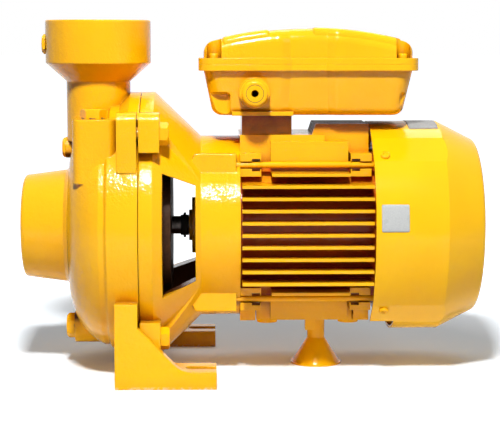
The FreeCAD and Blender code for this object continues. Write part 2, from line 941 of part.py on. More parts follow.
def ball_radius(bore, outer):
    return (outer - bore) * 0.29


def outer_race(bore, outer, station, width):
    ring = tube_x(outer, outer - race_wall, station, station + width)
    return ring.cut(ball_track(bore, outer, station, width, ball_gap))


def inner_race(bore, outer, station, width):
    ring = tube_x(bore + race_wall, bore, station, station + width)
    return ring.cut(ball_track(bore, outer, station, width, ball_gap))


def ball_cage(bore, outer, station, width):
    middle = station + width / 2
    pitch = (bore + outer) / 2
    cage = tube_x(pitch + cage_thickness / 2, pitch - cage_thickness / 2,
                  middle - width * 0.3, middle + width * 0.3)
    ball = Part.makeSphere(ball_radius(bore, outer), Vector(at(middle), pitch, shaft_height))
    balls = [around_shaft(ball, 360.0 * i / ball_count) for i in range(ball_count)]
    return fused([cage] + balls)


def stator_core():
    return tube_x(frame_bore, stator_inner, stack_start, stack_start + stack_length)


def stator_windings():
    """End turns of the coils on both sides of the core."""
    ends = []
    for face, outward in ((stack_start, -1), (stack_start + stack_length, 1)):
        far = face + outward * winding_overhang
        bulge = far - outward * 5
        middle = (winding_inner + winding_outer) / 2
        ends.append(turned((face, winding_inner), (face, winding_outer),
                           (bulge, winding_outer), ((far, middle), (bulge, winding_inner))))
    return group(ends)


def rotor_core():
    radius = stator_inner - air_gap
    return tube_x(radius, rotor_seat, stack_start, stack_start + stack_length)


def rotor_end_rings():
    radius = stator_inner - air_gap - 1
    end = stack_start + stack_length
    return group([tube_x(radius, end_ring_inner, stack_start - end_ring_length, stack_start),
                  tube_x(radius, end_ring_inner, end, end + end_ring_length)])


def frame_fins():
    end = cover_start - slip_gap
    fins = []
    for i in range(fin_count):
        rise = shaft_height + (i - (fin_count - 1) / 2) * fin_pitch
        fins.append(block(fin_start, end, -fin_tip, fin_tip,
                          rise - fin_thickness / 2, rise + fin_thickness / 2))
    for side in (-1, 1):
        rise = shaft_height + side * pad_low
        fins.append(block(pad_start, pad_end, -pad_fin_tip, pad_fin_tip,
                          rise - fin_thickness / 2, rise + fin_thickness / 2))
    fin_end = cover_start - 1
    foot = shaft_height + frame_bore + 3
    crest = shaft_height + top_fin_height
    for i in range(top_fin_count):
        middle = (i - (top_fin_count - 1) / 2) * top_fin_pitch
        fins.append(plate_y([(top_fin_start, foot), (top_fin_start + top_fin_slope, crest),
                             (fin_end, crest), (fin_end, foot)],
                            middle - fin_thickness / 2, middle + fin_thickness / 2))
    return fins


def frame_pads():
    """Flat pads for plates, the top deck with the pedestal and the foot deck."""
    low = shaft_height - foot_deck_height
    pads = [block(pad_start, pad_end, -pad_face, pad_face,
                  shaft_height + pad_low, shaft_height + pad_high),
            block(pad_start, pad_end, -pad_face, pad_face,
                  shaft_height - pad_high, shaft_height - pad_low),
            block(ring_end, deck_end, -deck_half_width, deck_half_width,
                  shaft_height + pad_low, shaft_height + deck_height),
            block(pedestal_start, pedestal_end, -pedestal_half_width, pedestal_half_width,
                  shaft_height + pad_high, box_bottom),
            block(ring_end + cradle_length - 4, cover_start - cradle_length + 3,
                  -deck_half_width + 4, deck_half_width - 4, low, shaft_height - pad_low)]
    for start in (ring_end, cover_start - cradle_length + 4):
        pads.append(block(start, start + cradle_length - 5, -deck_half_width, deck_half_width,
                          low, shaft_height - pad_low))
    pads += [rod_z(boss_radius, low - boss_drop, low + 5, station, side * boss_y)
             for station in (boss_start, boss_start + boss_pitch) for side in (-1, 1)]
    pads.append(block(earth_station - earth_lug / 2, earth_station + earth_lug / 2,
                      -deck_half_width, -deck_half_width + earth_lug,
                      shaft_height - earth_drop, low + 5))
    return pads


def cradles():
    """Blocks at both ends of the frame with an open channel for each tie rod."""
    blocks = []
    channels = []
    for sy, sz in quadrants:
        y_low, y_high = sorted((sy * cradle_root, sy * cradle_depth))
        c_low, c_high = sorted((sy * (rod_y - rod_radius - 0.6), sy * (cradle_depth + 1)))
        middle = shaft_height + sz * rod_rise
        for start in (ring_end, cover_start - cradle_length - 1):
            blocks.append(block(start, start + cradle_length, y_low, y_high,
                                middle - cradle_half_height, middle + cradle_half_height))
            notch = start + 1 if start > ring_end else start + cradle_length - notch_length - 1
            half = rod_radius + 0.5 + notch_height
            channels.append(block(notch, notch + notch_length, c_low, c_high,
                                  middle - half, middle + half))
        channels.append(block(ring_end - 1, frame_end + 1, c_low, c_high,
                              middle - rod_radius - 0.5, middle + rod_radius + 0.5))
    return blocks, channels


def motor_frame():
    blocks, channels = cradles()
    solids = [rod_x(frame_radius, ring_end, frame_end)] + frame_fins() + frame_pads() + blocks
    wire_hole = rod_z(gland_body, shaft_height + frame_bore - 5, box_bottom + 1,
                      (pedestal_start + pedestal_end) / 2)
    stud_hole = rod_z(stand_stud + thread_gap, shaft_height - earth_drop,
                      shaft_height - foot_deck_height + stand_stud_depth, stand_station)
    register = rod_x(frame_bore + spigot_wall + thread_gap, ring_end - 1,
                     ring_end + spigot_depth + slip_gap)
    bore = rod_x(frame_bore, ring_end - 1, frame_end + 1)
    return drilled(fused(solids), channels + [wire_hole, stud_hole, register, bore])


def corner_angles():
    return [corner_angle, 180 - corner_angle, -corner_angle, 180 + corner_angle]


def rear_end_shield():
    seat_end = rear_station + rear_width + washer_thickness
    boss = rear_outer + shield_boss_wall
    reach = corner_flat - cover_wall - thread_gap
    spigot = tube_x(frame_bore - thread_gap, frame_bore - 4.5,
                    frame_end - shield_back, frame_end)
    disc = rod_x(shield_radius, frame_end, frame_end + shield_wall)
    ears = [radial_web(frame_end, frame_end + shield_wall, ear_width, rear_outer,
                       reach, angle) for angle in corner_angles()]
    solid = fused([disc, rod_x(boss, rear_station - 2, seat_end + shield_back), spigot] + ears)
    holes = [rod_x(rear_outer, rear_station - 3, seat_end),
             rod_x(shield_hole, seat_end - 1, seat_end + shield_back + 1)]
    holes += [rod_x(rod_radius + thread_gap, frame_end - 1, frame_end + shield_wall + 1,
                    sy * rod_y, sz * rod_rise) for sy, sz in quadrants]
    holes += [cover_screw_bar(cover_screw_radius + thread_gap, reach + 1, angle)
              for angle in corner_angles()]
    return drilled(solid, holes)


def cover_screw_bar(radius, outer, angle):
    inner = corner_flat - cover_screw_length
    return around_shaft(corner_rod(radius, inner, outer, angle), angle)


def corner_rod(radius, inner, outer, angle):
    """Rod square to a corner flat, before it is turned there."""
    side = -math.copysign(1.0, math.sin(math.radians(2 * angle)))
    return rod_y_axis(radius, inner, outer, cover_screw_station,
                      shaft_height + side * cover_screw_shift)


def cover_screws():
    screws = []
    for angle in corner_angles():
        head = corner_rod(cover_screw_head, corner_flat,
                          corner_flat + cover_screw_head_height, angle)
        screws.append(around_shaft(head, angle).fuse(
            cover_screw_bar(cover_screw_radius, corner_flat, angle)).removeSplitter())
    return group(screws)


def wave_washer():
    start = rear_station + rear_width
    return tube_x(rear_outer - slip_gap, rear_outer - race_wall, start, start + washer_thickness)


def tie_rods():
    rods = []
    nut_face = frame_end + shield_wall
    for sy, sz in quadrants:
        base = Vector(at(nut_face), sy * rod_y, shaft_height + sz * rod_rise)
        nut = hexagon(rod_nut_flats, rod_nut, base, Vector(1, 0, 0))
        rod = rod_x(rod_radius, rod_start + 1, nut_face + rod_nut + 1, sy * rod_y, sz * rod_rise)
        rods.append(nut.fuse(rod).removeSplitter())
    return group(rods)


def cooling_fan():
    disc_start = fan_hub_start + 4
    hub = rod_x(fan_hub_radius, fan_hub_start, fan_hub_end)
    disc = rod_x(fan_radius * 0.6, disc_start, disc_start + fan_disc)
    blades = [radial_web(disc_start, disc_start + fan_blade_width, fan_blade,
                         fan_hub_radius - 1, fan_radius, 360.0 * i / fan_blades)
              for i in range(fan_blades)]
    return fused([hub, disc] + blades).cut(rod_x(shaft_radius, fan_hub_start - 1, fan_hub_end + 1))


def fan_circlip():
    return tube_x(shaft_radius + 3, shaft_radius, fan_hub_end, fan_hub_end + 1.2)


def cover_form(inset):
    """Round hood with a bevelled rear and four flattened corners."""
    front = cover_start - (1 if inset else 0)
    rear = cover_rear - inset
    radius = cover_radius - inset
    corner = ((cover_corner[0] - inset, cover_corner[1] - inset),
              (rear, cover_rear_radius - inset))
    form = turned((front, 0), (front, radius), (cover_bevel - inset * 0.3, radius),
                  (cover_cone_end - inset, cover_cone_radius - inset), corner, (rear, 0))
    flat = shaft_height + corner_flat - inset
    far = shaft_height + 2 * cover_radius
    cutter = plate_y([(front - 1, flat), (cover_rear + 1, flat), (cover_rear + 1, far),
                      (front - 1, far)], -cover_radius, cover_radius)
    for angle in corner_angles():
        form = form.cut(around_shaft(cutter, angle - 90))
    return form


def grille_slots():
    slots = []
    for i in range(grille_rows):
        rise = (i - (grille_rows - 1) / 2) * grille_pitch
        reach = math.sqrt(grille_radius ** 2 - rise ** 2)
        for side in (-1, 1):
            y_low, y_high = sorted((side * grille_web / 2, side * reach))
            slots.append(block(cover_rear - cover_wall - 1, cover_rear + 1, y_low, y_high,
                               shaft_height + rise - grille_slot / 2,
                               shaft_height + rise + grille_slot / 2))
    return slots


def fan_cover():
    shell = cover_form(0).cut(cover_form(cover_wall))
    notch = block(cover_start - 1, notch_end, -notch_half_width, notch_half_width,
                  0, shaft_height - foot_deck_height)
    holes = [cover_screw_bar(cover_screw_radius + thread_gap, corner_flat + 1, angle)
             for angle in corner_angles()]
    return drilled(shell, grille_slots() + [notch] + holes)


def box_outline(inset, height):
    """Plan of the terminal box at a height, drawn in from the rim by inset."""
    valley = -box_near + valley_depth
    corners = [(box_left, -box_near), (valley_start, -box_near),
               (valley_start + valley_slope, valley), (valley_end - valley_slope, valley),
               (valley_end, -box_near), (box_right, -box_near), (box_right, box_far),
               (box_left, box_far)]
    points = [Vector(at(x), y, height) for x, y in corners]
    wire = Part.makePolygon(points + points[:1])
    core = Part.Face(wire).makeOffset2D(-corner_round - inset, join=2)
    return core.makeOffset2D(corner_round, join=0).OuterWire


def box_prism(inset, low, high):
    return Part.Face(box_outline(inset, low)).extrude(Vector(0, 0, high - low))


def box_taper(wall, low):
    """Body of the base, narrower towards the bottom."""
    share = (rim_bottom - low) / (rim_bottom - box_bottom)
    inset = rim_overhang + wall
    return Part.makeLoft([box_outline(inset + base_taper * share, low),
                          box_outline(inset, rim_bottom)], True, True)


def base_body():
    """Outside of the base, its bottom edge rounded."""
    body = box_taper(0, box_bottom)
    bottom = [edge for edge in body.Edges
              if max(v.Z for v in edge.Vertexes) < box_bottom + 0.01]
    return body.makeFillet(base_round, bottom)


def corner_pockets(wall):
    """Hollows below the four lid screws, grown by wall."""
    pockets = []
    for start, end in ((box_left - pocket_round, pocket_left_end),
                       (pocket_right_start, box_right + pocket_round)):
        for side, y in ((-1, box_near), (1, box_far)):
            back = side * (y - rim_overhang - pocket_depth - wall)
            y_low, y_high = sorted((back, side * 2 * y))
            pockets.append(block(start - wall, end + wall, y_low, y_high,
                                 box_bottom - 2 * pocket_round, pocket_top + wall))
    return pockets


def lid_screw_places():
    inset = rim_overhang + lid_screw_inset
    return [(box_left + inset, -box_near + inset), (box_right - inset, -box_near + inset),
            (box_left + inset, box_far - inset), (box_right - inset, box_far - inset)]


def screw_rods(radius, low, high):
    return [rod_z(radius, low, high, station, y) for station, y in lid_screw_places()]


def gland_seat():
    return -box_near + rim_overhang


def terminal_box_base():
    floor = box_bottom + box_wall
    cavity = box_taper(box_wall, floor).fuse(
        box_prism(rim_overhang + box_wall, rim_bottom, rim_split + 1))
    cavity = drilled(cavity, screw_rods(lid_screw_radius + lid_screw_boss, box_bottom, rim_split + 2)
                     + corner_pockets(box_wall))
    pockets = [pocket.makeFillet(pocket_round, pocket.Edges) for pocket in corner_pockets(0)]
    body = fused([drilled(base_body(), pockets), box_prism(0, rim_bottom, rim_split),
                  block(ledge_start, ledge_end, -ledge_near, ledge_near - 14,
                        box_bottom, box_bottom + ledge_thickness)]).cut(cavity)
    seat = gland_seat()
    boss = rod_y_axis(gland_body + 1, seat, seat + gland_seat_depth,
                      gland_station, gland_height)
    body = body.fuse(boss)
    groove = lid_seal_ring(rim_split - lid_gasket_depth, rim_split + 1)
    holes = screw_rods(lid_screw_radius + thread_gap, rim_split - lid_screw_length - 2, rim_split + 1)
    holes += [groove, rod_y_axis(gland_thread + thread_gap, seat - 1,
                                 seat + gland_seat_depth + 1, gland_station, gland_height),
              rod_z(gland_body - 2, box_bottom - 1, floor + 1,
                    (pedestal_start + pedestal_end) / 2)]
    return drilled(body, holes).removeSplitter()


def lid_seal_ring(low, high):
    outer = box_prism(gasket_width, low, high)
    return outer.cut(box_prism(2 * gasket_width, low - 1, high + 1))


def lid_gasket():
    return lid_seal_ring(rim_split - lid_gasket_depth, rim_split)


def crown(inset):
    """Long shallow curve of the lid's top, along X."""
    middle = (box_left + box_right) / 2
    return rod_y_axis(crown_radius - inset, -2 * box_near, 2 * box_near, middle,
                      lid_crown - crown_radius)


def rounded_top(shape, radius):
    """Shape with every edge above the rim rounded."""
    edges = [edge for edge in shape.Edges if min(v.Z for v in edge.Vertexes) > rim_top + 1]
    return shape.makeFillet(radius, edges)


def lid_pillow(start, end):
    """Raised panel across the lid, standing out over its rounded edge."""
    span = block(start, end, -2 * box_near, 2 * box_near, rim_top - 1, 2 * lid_crown)
    body = box_prism(rim_overhang + pillow_inset, rim_top - 1, lid_crown + 3)
    body = body.common(crown(-pillow_rise)).common(span)
    above = [edge for edge in body.Edges if min(v.Z for v in edge.Vertexes) > rim_top + 1]
    sides = [edge for edge in above if edge.BoundBox.YLength < box_near]
    body = body.makeFillet(pillow_edge, sides)
    ends = [edge for edge in body.Edges if min(v.Z for v in edge.Vertexes) > rim_top + 1
            and min(abs(edge.BoundBox.XMin - at(end_station)) + edge.BoundBox.XLength
                    for end_station in (start, end)) < 0.01]
    return body.makeFillet(pillow_end, ends)


def pocket_slots():
    """Room over each lid screw, open to the near or the far side."""
    slots = screw_rods(lid_pocket, rim_top, 2 * lid_crown)
    for station, y in lid_screw_places():
        y_low, y_high = sorted((y, math.copysign(2 * box_near, y)))
        slots.append(block(station - lid_pocket, station + lid_pocket, y_low, y_high,
                           rim_top, 2 * lid_crown))
    return slots


def terminal_box_lid():
    upper = box_prism(rim_overhang, rim_top - 1, lid_crown + 2).common(crown(0))
    upper = fused([rounded_top(upper, lid_edge)] + [lid_pillow(*span) for span in pillow_spans])
    upper = drilled(upper, pocket_slots())
    cavity = box_prism(rim_overhang + pillow_inset + box_wall, rim_split - 1, lid_crown)
    cavity = cavity.common(crown(lid_thickness))
    keep = []
    for station, y in lid_screw_places():
        y_low, y_high = sorted((y, math.copysign(2 * box_near, y)))
        reach = lid_pocket + box_wall
        keep += [rod_z(reach, 0, 2 * lid_crown, station, y),
                 block(station - reach, station + reach, y_low, y_high, 0, 2 * lid_crown)]
    cavity = drilled(cavity, keep)
    lid = upper.fuse(box_prism(0, rim_split, rim_top)).cut(cavity)
    return drilled(lid, screw_rods(lid_screw_radius + slip_gap, rim_split - 1, rim_top + 1))


def lid_screws():
    heads = screw_rods(lid_screw_head, rim_top, rim_top + lid_screw_head_height)
    shanks = screw_rods(lid_screw_radius, rim_split - lid_screw_length, rim_top)
    return group([head.fuse(shank).removeSplitter() for head, shank in zip(heads, shanks)])


def gland_part(radius, start, length):
    return rod_y_axis(radius, gland_seat() - start - length, gland_seat() - start,
                      gland_station, gland_height)


def cable_gland():
    body = gland_part(gland_body, 0, gland_body_length)
    inside = gland_seat_depth + gland_locknut_length
    thread = gland_part(gland_thread, -inside, inside)
    seal_space = gland_part(gland_seal_radius, gland_body_length - 8, 9)
    way = gland_part(gland_seal_radius - 1, -gland_reach / 2, gland_reach)
    return fused([body, thread]).cut(seal_space).cut(way)


def gland_nut():
    """Rounded clamping nut around the rubber seal."""
    nut = gland_part(gland_body - 1.5, gland_body_length, gland_nut_length)
    rim = [edge for edge in nut.Edges
           if abs(edge.CenterOfMass.y - nut.BoundBox.YMin) < 0.01]
    nut = nut.makeFillet(3.0, rim)
    return nut.cut(gland_part(gland_seal_radius, 0, gland_reach))


def gland_seal():
    length = gland_body_length - 4 + gland_nut_length
    seal = gland_part(gland_seal_radius, 4, length)
    return seal.cut(gland_part(gland_hole, 0, gland_reach))


def gland_locknut_ring():
    ring = gland_part(gland_locknut, -gland_seat_depth - gland_locknut_length,
                      gland_locknut_length)
    return ring.cut(gland_part(gland_thread + thread_gap, -gland_reach / 2, gland_reach / 2))


def capacitor_height():
    return box_bottom + box_wall + clip_wall + capacitor_radius


def capacitor():
    return rod_x(capacitor_radius, capacitor_start, capacitor_start + capacitor_length,
                 capacitor_y, capacitor_height() - shaft_height)


def capacitor_clips():
    clips = []
    rise = capacitor_height() - shaft_height
    floor = box_bottom + box_wall
    last = capacitor_start + capacitor_length - clip_inset
    for station in (capacitor_start + clip_inset, last):
        end = station + clip_width
        band = rod_x(capacitor_radius + clip_wall, station, end, capacitor_y, rise)
        foot = block(station, end, capacitor_y - capacitor_radius / 2,
                     capacitor_y + capacitor_radius / 2, floor, floor + clip_wall * 2)
        hole = rod_x(capacitor_radius, station - 1, end + 1, capacitor_y, rise)
        clips.append(fused([band, foot]).cut(hole))
    return group(clips)


def terminal_board():
    floor = box_bottom + box_wall
    top = floor + board_height
    board = block(board_start, board_end, -board_half_width, board_half_width, floor, top)
    middle = (board_start + board_end) / 2
    return drilled(board, board_stud_rods(stud_radius, top - 6, top + 1, middle))


def board_stud_rods(radius, low, high, station):
    return [rod_z(radius, low, high, station, (i - 2.5) * stud_pitch) for i in range(6)]


def board_studs():
    top = box_bottom + box_wall + board_height
    middle = (board_start + board_end) / 2
    return group(board_stud_rods(stud_radius, top - 6, top + stud_height, middle))


def support_stand():
    """Turned stem that flares into a hollow cone with a thin rim."""
    top = shaft_height - foot_deck_height
    inner = stand_radius - stand_wall
    body = turned_upright(stand_station, 0, (0, top), (stand_stem, top),
                          (stand_stem, stand_cone_top),
                          (stand_radius - stand_rim, stand_rim), (stand_radius, stand_rim),
                          (stand_radius, 0), (inner, 0),
                          (stand_stem - stand_wall, stand_cone_top - stand_wall),
                          (0, stand_cone_top - stand_wall))
    return body.cut(rod_z(stand_stud + thread_gap, top - stand_stud_depth - 1, top + 1,
                          stand_station))


def stand_screw():
    top = shaft_height - foot_deck_height
    return rod_z(stand_stud, top - stand_stud_depth, top + stand_stud_depth - 1, stand_station)


front_bearing = (front_bore, front_outer, front_station, front_width)
rear_bearing = (rear_bore, rear_outer, rear_station, rear_width)

save("pump_casing", pump_casing())
save("wear_ring", wear_ring())
save("casing_gasket", casing_gasket())
save("seal_plate", seal_plate())
save("seal_seat", seal_seat())
save("seal_head", seal_head())
save("seal_spring", seal_spring())
save("impeller", impeller())
save("impeller_key", impeller_key())
save("impeller_nut", impeller_nut())
save("motor_shaft", motor_shaft())
save("slinger", slinger())
save("filler_plug", filler_plug())
save("drain_plug", drain_plug())
save("gauge_plugs", gauge_plugs())
save("lantern_bracket", lantern_bracket())
save("casing_bolts", casing_bolts())
for end, sizes in (("front", front_bearing), ("rear", rear_bearing)):
    save(end + "_outer_race", outer_race(*sizes))
    save(end + "_inner_race", inner_race(*sizes))
    save(end + "_ball_cage", ball_cage(*sizes))
save("motor_frame", motor_frame())
save("stator_core", stator_core())
save("stator_windings", stator_windings())
save("rotor_core", rotor_core())
save("rotor_end_rings", rotor_end_rings())
save("rear_end_shield", rear_end_shield())
save("wave_washer", wave_washer())
save("tie_rods", tie_rods())
save("cooling_fan", cooling_fan())
save("fan_circlip", fan_circlip())
save("fan_cover", fan_cover())
save("cover_screws", cover_screws())
save("terminal_box_base", terminal_box_base())
save("lid_gasket", lid_gasket())
save("terminal_box_lid", terminal_box_lid())
save("lid_screws", lid_screws())
save("cable_gland", cable_gland())
save("gland_nut", gland_nut())
save("gland_seal", gland_seal())
save("gland_locknut", gland_locknut_ring())
save("capacitor", capacitor())
save("capacitor_clips", capacitor_clips())
save("terminal_board", terminal_board())
save("board_studs", board_studs())
save("support_stand", support_stand())
save("stand_screw", stand_screw())
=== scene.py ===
# Looks of the close-coupled water pump: materials, fine pieces, floor, light
# and camera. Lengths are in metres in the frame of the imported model.
import bpy
import json
import math
from mathutils import Matrix, Vector

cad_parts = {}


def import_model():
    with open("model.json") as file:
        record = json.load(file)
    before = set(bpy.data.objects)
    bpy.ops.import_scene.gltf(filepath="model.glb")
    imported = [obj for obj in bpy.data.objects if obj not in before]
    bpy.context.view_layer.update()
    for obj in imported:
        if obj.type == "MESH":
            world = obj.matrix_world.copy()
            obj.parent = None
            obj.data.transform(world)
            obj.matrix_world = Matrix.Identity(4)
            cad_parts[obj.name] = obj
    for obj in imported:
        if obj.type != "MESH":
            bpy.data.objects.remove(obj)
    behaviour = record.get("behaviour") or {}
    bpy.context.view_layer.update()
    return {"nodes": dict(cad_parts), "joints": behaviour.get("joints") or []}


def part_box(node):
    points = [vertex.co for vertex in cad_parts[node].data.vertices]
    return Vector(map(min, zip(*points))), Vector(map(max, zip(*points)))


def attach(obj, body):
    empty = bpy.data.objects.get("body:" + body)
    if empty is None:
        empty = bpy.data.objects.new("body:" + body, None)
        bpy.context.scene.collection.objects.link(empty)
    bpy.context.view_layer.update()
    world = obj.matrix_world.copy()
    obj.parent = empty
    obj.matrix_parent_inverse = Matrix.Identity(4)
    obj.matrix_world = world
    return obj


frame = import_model()
nodes = frame["nodes"]

# Height of the shaft's axis, and the middle of the pump along its stations.
SHAFT = next(joint["pos_m"][2] for joint in frame["joints"] if joint["name"] == "rotor_spin")
MIDDLE = 0.1065


def at(station):
    """X in metres of a station in millimetres along the shaft."""
    return station / 1000 - MIDDLE


# ------------------------------------------------------------------ node kit

def set_input(tree, socket, value):
    """Link a socket to an output, or give it a plain value."""
    if isinstance(value, bpy.types.NodeSocket):
        tree.links.new(value, socket)
    else:
        socket.default_value = value


def add_node(tree, kind, inputs=None):
    """Add a shader node; inputs are given by the name or the number of the socket."""
    node = tree.nodes.new("ShaderNode" + kind)
    for key, value in (inputs or {}).items():
        set_input(tree, node.inputs[key], value)
    return node


def empty_tree(owner):
    """The node tree of a material or a world, with nothing in it."""
    owner.use_nodes = True
    owner.node_tree.nodes.clear()
    return owner.node_tree


def maths(tree, operation, first, second):
    node = add_node(tree, "Math", {0: first, 1: second})
    node.operation = operation
    return node.outputs[0]


def product(tree, first, second):
    return maths(tree, "MULTIPLY", first, second)


def span(tree, value, full, none):
    """One at full and beyond, fading to nothing at none."""
    node = add_node(tree, "MapRange", {"Value": value, "From Min": none, "From Max": full})
    return node.outputs["Result"]


def coordinate(tree, output, axis):
    """One axis of the point in the coordinates that output names."""
    vector = add_node(tree, "TexCoord").outputs[output]
    return add_node(tree, "SeparateXYZ", {0: vector}).outputs[axis]


def length(tree, vector):
    node = add_node(tree, "VectorMath", {0: vector})
    node.operation = "LENGTH"
    return node.outputs["Value"]


def noise(tree, scale, detail=2.0, roughness=0.5, stretch=None):
    """Noise from 0 to 1, with scale lumps to the metre before stretch."""
    vector = add_node(tree, "TexCoord").outputs["Object"]
    if stretch:
        vector = add_node(tree, "Mapping", {"Vector": vector, "Scale": stretch}).outputs["Vector"]
    texture = add_node(tree, "TexNoise", {"Vector": vector, "Scale": scale, "Detail": detail,
                                          "Roughness": roughness})
    return texture.outputs["Fac"]


def ramp(tree, value, stops):
    node = add_node(tree, "ValToRGB", {"Fac": value})
    elements = node.color_ramp.elements
    while len(elements) < len(stops):
        elements.new(0.5)
    for element, (place, colour) in zip(elements, stops):
        element.position = place
        element.color = (*colour, 1.0)
    return node.outputs["Color"]


def grey_ramp(tree, value, low, high, start=0.35, end=0.65):
    return ramp(tree, value, [(start, (low,) * 3), (end, (high,) * 3)])


def mix_colour(tree, factor, first, second):
    """First colour where factor is 0 and second where it is 1."""
    node = add_node(tree, "Mix")
    node.data_type = "RGBA"
    set_input(tree, node.inputs["Factor"], factor)
    for number, colour in ((6, first), (7, second)):
        set_input(tree, node.inputs[number],
                  (*colour, 1.0) if isinstance(colour, tuple) else colour)
    return node.outputs[2]


def mix_shaders(tree, factor, first, second):
    return add_node(tree, "MixShader", {"Fac": factor, 1: first, 2: second}).outputs[0]


def bump(tree, height, strength, distance, normal):
    node = add_node(tree, "Bump", {"Strength": strength, "Distance": distance,
                                   "Height": height, "Normal": normal})
    return node.outputs["Normal"]


def rounded(tree, radius, samples):
    """Normals that round the edges off by a radius."""
    node = add_node(tree, "Bevel", {"Radius": radius})
    node.samples = samples
    return node.outputs["Normal"]


def background_rays(tree):
    """One for the rays that find a plain white background: seen, mirrored or refracted."""
    path = add_node(tree, "LightPath").outputs
    either = maths(tree, "MAXIMUM", path["Is Camera Ray"], path["Is Glossy Ray"])
    return maths(tree, "MAXIMUM", either, path["Is Transmission Ray"])


# ---------------------------------------------------------------- materials

# The enamel, then its painted shade in corners, its painted shadow below the terminal box, its
# painted shade between the fins, its scraped feet and its darker inner faces in the castings.
YELLOW = (0.89, 0.437, 0.002)
YELLOW_DEEP = (0.87, 0.412, 0.002)
YELLOW_LIGHT = (0.91, 0.460, 0.003)
CORNER_SHADE_TONE = (0.20, 0.028, 0.003)
BOX_SHADOW_TONE = (0.17, 0.010, 0.001)
FIN_SHADE_TONE = (0.42, 0.045, 0.006)
SCUFF = (0.80, 0.50, 0.30)
INWARD_DARK = (0.095, 0.026, 0.006)

# Noise of the enamel, in lumps to the metre, the heights of its bumps and its gloss.
TONE_SCALE = 14.0
TONE_STOPS = (0.30, 0.50, 0.72)
GLOSS_SCALE = 60.0
GLOSS_BELOW = 0.04
GLOSS_ABOVE = 0.06
PEEL_SCALE = 480.0
PEEL_HEIGHT = 0.0006
LUMP_HEIGHT = 0.0012
ENAMEL_GLOSS = {"Coat Weight": 0.08, "Coat Roughness": 0.10, "IOR": 1.5,
                "Specular IOR Level": 0.15}

# How far around a point its openness is felt, and the openness at which a corner's painted
# shade is at its fullest and at its end. BOX_HEIGHT says the same of a height.
CORNER_REACH = 0.035
GAP = (0.20, 0.50)
BOX_REACH = 0.06
BOX_GAP = (0.50, 0.78)
BOX_HEIGHT = (0.242, 0.232)

# Scuffs at the feet: their height, their noise and the part of it that shows.
FOOT_HEIGHT = (0.0006, 0.0030)
FOOT_NOISE = (240.0, 4.0, 0.7)
FOOT_PATCHES = (0.60, 0.48)

# Cosine of the angle between a face and the way out from the shaft, for the darker inner faces.
TURNED_IN = (-0.45, -0.15)

# Where a grain's dark colour ends and its light colour begins.
GRAIN_STOPS = (0.3, 0.7)


def radial(tree):
    """Vector from the shaft's axis to the point, square to the shaft, and the normal."""
    coords = add_node(tree, "TexCoord").outputs
    mapping = add_node(tree, "Mapping", {"Vector": coords["Object"], "Scale": (0, 1, 1),
                                         "Location": (0, 0, -SHAFT)})
    return mapping.outputs["Vector"], coords["Normal"]


def near_shaft(tree, full, none):
    vector, _ = radial(tree)
    return span(tree, length(tree, vector), full, none)


def facing_shaft(tree):
    vector, normal = radial(tree)
    unit = add_node(tree, "VectorMath", {0: vector})
    unit.operation = "NORMALIZE"
    dot = add_node(tree, "VectorMath", {0: unit.outputs["Vector"], 1: normal})
    dot.operation = "DOT_PRODUCT"
    return span(tree, dot.outputs["Value"], *TURNED_IN)


def corners(tree, reach, full, none):
    """How open a point is, for the painted shade in narrow corners and gaps."""
    node = add_node(tree, "AmbientOcclusion", {"Distance": reach})
    node.samples = 6
    return span(tree, node.outputs["AO"], full, none)


def painted_box_shadow(tree):
    """Painted shadow in the narrow space below the terminal box."""
    high = span(tree, coordinate(tree, "Object", "Z"), *BOX_HEIGHT)
    return product(tree, high, corners(tree, BOX_REACH, *BOX_GAP))


def foot_scuffs(tree):
    """Patches along the lowest three millimetres, where the paint is scraped off."""
    low = span(tree, coordinate(tree, "Object", "Z"), *FOOT_HEIGHT)
    return product(tree, low, span(tree, noise(tree, *FOOT_NOISE), *FOOT_PATCHES))


def new_material(name, inputs):
    """Material with one glossy shader, its tree and the shader."""
    material = bpy.data.materials.new(name)
    tree = empty_tree(material)
    shader = add_node(tree, "BsdfPrincipled", inputs)
    add_node(tree, "OutputMaterial", {"Surface": shader.outputs["BSDF"]})
    return material, tree, shader


